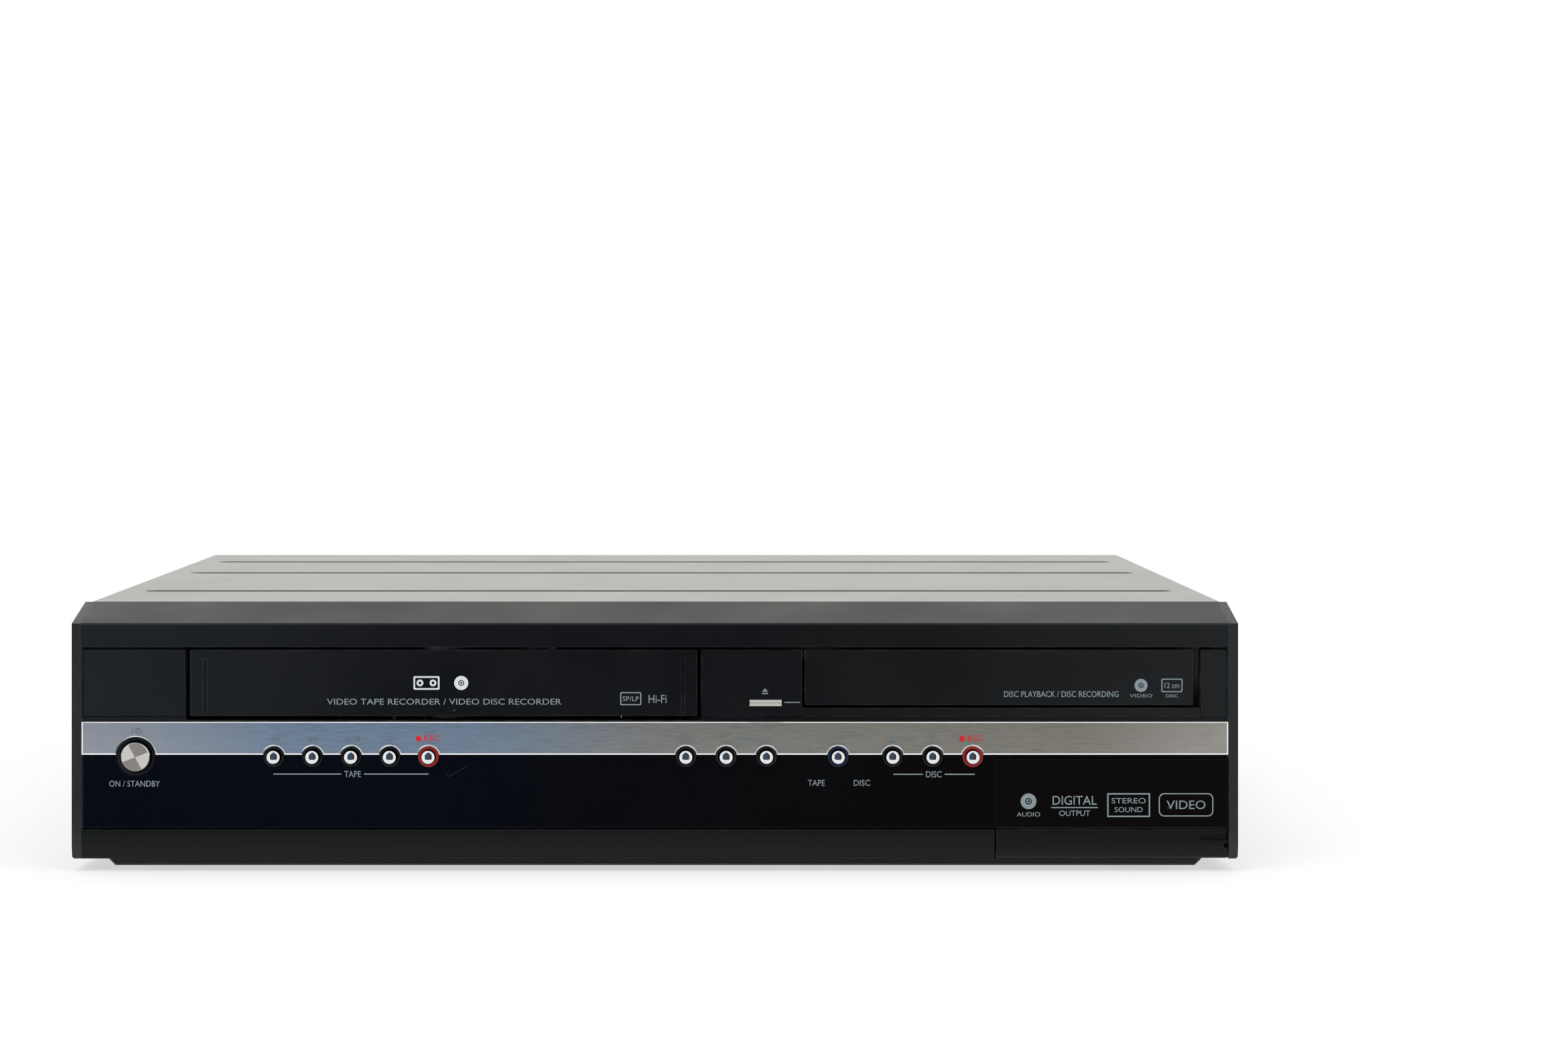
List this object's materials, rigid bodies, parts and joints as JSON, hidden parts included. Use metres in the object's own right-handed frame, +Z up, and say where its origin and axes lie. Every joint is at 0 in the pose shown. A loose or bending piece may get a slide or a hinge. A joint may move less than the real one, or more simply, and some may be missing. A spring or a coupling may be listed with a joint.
{
  "type": "dvd vcr combo recorder",
  "caption": "Full-width disc and tape recorder with a slot door, disc tray, trim strip, keys and a drop-down socket flap.",
  "frame": {"origin": "centre of the footprint at the table", "axes": "+X to the right seen from the front, +Y from the front to the rear, +Z up"},
  "size_m": [0.43, 0.361, 0.0979],
  "materials": {
    "front_plastic": "fine satin grain",
    "flap_plastic": "gloss above, satin below",
    "cover_paint": "satin black paint",
    "base_steel": "zinc-plated sheet",
    "deck_steel": "zinc-plated sheet",
    "carriage_steel": "plated sheet",
    "bright_steel": "ground bright",
    "arm_steel": "plated",
    "screw_black": "black zinc",
    "window_gloss": "polished acrylic",
    "trim_aluminium": "brushed along its length, diamond-cut edge",
    "button_aluminium": "spun",
    "bar_aluminium": "satin",
    "key_chrome": "mirror",
    "collar_black": "semi-gloss",
    "collar_red": "semi-gloss",
    "collar_blue": "semi-gloss",
    "foot_rubber": "matt",
    "black_plastic": "satin",
    "socket_plastic": "satin",
    "jack_metal": "plated",
    "aerial_metal": "nickel",
    "board_green": "solder mask",
    "board_brown": "phenolic board",
    "tube_glass": "display tube",
    "drum_aluminium": "turned",
    "motor_iron": "plated",
    "roller_rubber": "ground"
  },
  "bodies": {
    "cabinet": {"front_bezel": "front_plastic", "top_cover": "cover_paint", "chassis_pan": "base_steel", "rear_panel": "cover_paint", "feet": "foot_rubber", "cover_screws": "screw_black", "trim_strip": "trim_aluminium", "display_window": "window_gloss", "button_collars": "collar_black", "record_collars": "collar_red", "dubbing_collar": "collar_blue", "front_sockets": "socket_plastic", "front_board": "board_green", "display_tube": "tube_glass", "main_board": "board_green", "power_board": "board_brown", "scart_sockets": "black_plastic", "phono_jacks": "jack_metal", "aerial_sockets": "aerial_metal", "mains_inlet": "black_plastic", "fan_frame": "black_plastic", "deck_plate": "deck_steel", "lower_drum": "drum_aluminium", "capstan_motor": "motor_iron", "tape_guides": "bright_steel", "loader_frame": "deck_steel", "drive_chassis": "deck_steel", "drive_cover": "deck_steel"},
    "fan": {"fan_rotor": "black_plastic"},
    "drum": {"upper_drum": "drum_aluminium"},
    "capstan_body": {"capstan": "bright_steel"},
    "pinch": {"pinch_arm": "arm_steel"},
    "roller": {"pinch_roller": "roller_rubber"},
    "supply": {"supply_reel": "black_plastic"},
    "takeup": {"takeup_reel": "black_plastic"},
    "tension": {"tension_arm": "arm_steel"},
    "shuttle": {"carriage_shuttle": "carriage_steel"},
    "carriage": {"cassette_carriage": "carriage_steel"},
    "tray": {"disc_tray": "black_plastic", "tray_front": "front_plastic"},
    "pickup": {"pickup_frame": "black_plastic"},
    "spindle": {"turntable": "black_plastic"},
    "sled": {"laser_sled": "black_plastic"},
    "clamp": {"disc_clamp": "black_plastic"},
    "tape_door": {"cassette_door": "front_plastic"},
    "flap": {"av_door": "flap_plastic"},
    "power": {"power_button": "button_aluminium"},
    "eject": {"eject_button": "bar_aluminium"},
    "tape_rewind_key_body": {"tape_rewind_key": "key_chrome"},
    "tape_forward_key_body": {"tape_forward_key": "key_chrome"},
    "tape_stop_key_body": {"tape_stop_key": "key_chrome"},
    "tape_play_key_body": {"tape_play_key": "key_chrome"},
    "tape_record_key_body": {"tape_record_key": "key_chrome"},
    "input_key_body": {"input_key": "key_chrome"},
    "channel_down_key_body": {"channel_down_key": "key_chrome"},
    "channel_up_key_body": {"channel_up_key": "key_chrome"},
    "dubbing_key_body": {"dubbing_key": "key_chrome"},
    "disc_stop_key_body": {"disc_stop_key": "key_chrome"},
    "disc_play_key_body": {"disc_play_key": "key_chrome"},
    "disc_record_key_body": {"disc_record_key": "key_chrome"}
  },
  "joints": [
    {"name": "cassette_door_swing", "type": "hinge", "parent": "cabinet", "child": "tape_door", "pos_m": [-0.07795, -0.1727, 0.0866], "axis": [1, 0, 0], "range_deg": [0, 90], "stiffness_Nm_per_rad": 0.004, "springref_deg": -17.19},
    {"name": "av_door_swing", "type": "hinge", "parent": "cabinet", "child": "flap", "pos_m": [0.16835, -0.1751, 0.007], "axis": [1, 0, 0], "range_deg": [0, 90]},
    {"name": "tray_slide", "type": "slide", "parent": "cabinet", "child": "tray", "axis": [0, -1, 0], "range_m": [0, 0.14]},
    {"name": "pickup_lift", "type": "slide", "parent": "cabinet", "child": "pickup", "axis": [0, 0, 1], "range_m": [0, 0.004]},
    {"name": "turntable_spin", "type": "hinge", "parent": "pickup", "child": "spindle", "pos_m": [0.1268, -0.107, 0.064], "axis": [0, 0, 1], "continuous": true},
    {"name": "sled_slide", "type": "slide", "parent": "pickup", "child": "sled", "axis": [0, 1, 0], "range_m": [0, 0.034]},
    {"name": "clamp_spin", "type": "hinge", "parent": "cabinet", "child": "clamp", "pos_m": [0.1268, -0.107, 0.071], "axis": [0, 0, 1], "continuous": true},
    {"name": "shuttle_slide", "type": "slide", "parent": "cabinet", "child": "shuttle", "axis": [0, 1, 0], "range_m": [0, 0.07]},
    {"name": "carriage_lower", "type": "slide", "parent": "shuttle", "child": "carriage", "axis": [0, 0, -1], "range_m": [0, 0.022]},
    {"name": "supply_spin", "type": "hinge", "parent": "cabinet", "child": "supply", "pos_m": [-0.12395, -0.0187, 0.032], "axis": [0, 0, 1], "continuous": true},
    {"name": "takeup_spin", "type": "hinge", "parent": "cabinet", "child": "takeup", "pos_m": [-0.03195, -0.0187, 0.032], "axis": [0, 0, 1], "continuous": true},
    {"name": "drum_spin", "type": "hinge", "parent": "cabinet", "child": "drum", "pos_m": [-0.07795, 0.0683, 0.032], "axis": [0, 0.0872, 0.9962], "continuous": true},
    {"name": "capstan_spin", "type": "hinge", "parent": "cabinet", "child": "capstan_body", "pos_m": [-0.03995, 0.044, 0.028], "axis": [0, 0, 1], "continuous": true},
    {"name": "pinch_swing", "type": "hinge", "parent": "cabinet", "child": "pinch", "pos_m": [-0.01395, 0.046, 0.03], "axis": [0, 0, 1], "range_deg": [-25, 0], "stiffness_Nm_per_rad": 0.02},
    {"name": "pinch_roller_spin", "type": "hinge", "parent": "pinch", "child": "roller", "pos_m": [-0.03322, 0.02581, 0.036], "axis": [0, 0, 1], "continuous": true},
    {"name": "tension_swing", "type": "hinge", "parent": "cabinet", "child": "tension", "pos_m": [-0.15795, 0.0343, 0.03], "axis": [0, 0, 1], "range_deg": [-12, 12], "stiffness_Nm_per_rad": 0.02},
    {"name": "fan_spin", "type": "hinge", "parent": "cabinet", "child": "fan", "pos_m": [0.04994, 0.1657, 0.05495], "axis": [0, 1, 0], "continuous": true},
    {"name": "power_press", "type": "slide", "parent": "cabinet", "child": "power", "axis": [0, 1, 0], "range_m": [0, 0.0008], "stiffness_N_per_m": 500, "springref_m": -0.0008},
    {"name": "eject_press", "type": "slide", "parent": "cabinet", "child": "eject", "axis": [0, 1, 0], "range_m": [0, 0.0008], "stiffness_N_per_m": 500, "springref_m": -0.0008},
    {"name": "tape_rewind_key_press", "type": "slide", "parent": "cabinet", "child": "tape_rewind_key_body", "axis": [0, 1, 0], "range_m": [0, 0.0008], "stiffness_N_per_m": 500, "springref_m": -0.0008},
    {"name": "tape_forward_key_press", "type": "slide", "parent": "cabinet", "child": "tape_forward_key_body", "axis": [0, 1, 0], "range_m": [0, 0.0008], "stiffness_N_per_m": 500, "springref_m": -0.0008},
    {"name": "tape_stop_key_press", "type": "slide", "parent": "cabinet", "child": "tape_stop_key_body", "axis": [0, 1, 0], "range_m": [0, 0.0008], "stiffness_N_per_m": 500, "springref_m": -0.0008},
    {"name": "tape_play_key_press", "type": "slide", "parent": "cabinet", "child": "tape_play_key_body", "axis": [0, 1, 0], "range_m": [0, 0.0008], "stiffness_N_per_m": 500, "springref_m": -0.0008},
    {"name": "tape_record_key_press", "type": "slide", "parent": "cabinet", "child": "tape_record_key_body", "axis": [0, 1, 0], "range_m": [0, 0.0008], "stiffness_N_per_m": 500, "springref_m": -0.0008},
    {"name": "input_key_press", "type": "slide", "parent": "cabinet", "child": "input_key_body", "axis": [0, 1, 0], "range_m": [0, 0.0008], "stiffness_N_per_m": 500, "springref_m": -0.0008},
    {"name": "channel_down_key_press", "type": "slide", "parent": "cabinet", "child": "channel_down_key_body", "axis": [0, 1, 0], "range_m": [0, 0.0008], "stiffness_N_per_m": 500, "springref_m": -0.0008},
    {"name": "channel_up_key_press", "type": "slide", "parent": "cabinet", "child": "channel_up_key_body", "axis": [0, 1, 0], "range_m": [0, 0.0008], "stiffness_N_per_m": 500, "springref_m": -0.0008},
    {"name": "dubbing_key_press", "type": "slide", "parent": "cabinet", "child": "dubbing_key_body", "axis": [0, 1, 0], "range_m": [0, 0.0008], "stiffness_N_per_m": 500, "springref_m": -0.0008},
    {"name": "disc_stop_key_press", "type": "slide", "parent": "cabinet", "child": "disc_stop_key_body", "axis": [0, 1, 0], "range_m": [0, 0.0008], "stiffness_N_per_m": 500, "springref_m": -0.0008},
    {"name": "disc_play_key_press", "type": "slide", "parent": "cabinet", "child": "disc_play_key_body", "axis": [0, 1, 0], "range_m": [0, 0.0008], "stiffness_N_per_m": 500, "springref_m": -0.0008},
    {"name": "disc_record_key_press", "type": "slide", "parent": "cabinet", "child": "disc_record_key_body", "axis": [0, 1, 0], "range_m": [0, 0.0008], "stiffness_N_per_m": 500, "springref_m": -0.0008}
  ]
}
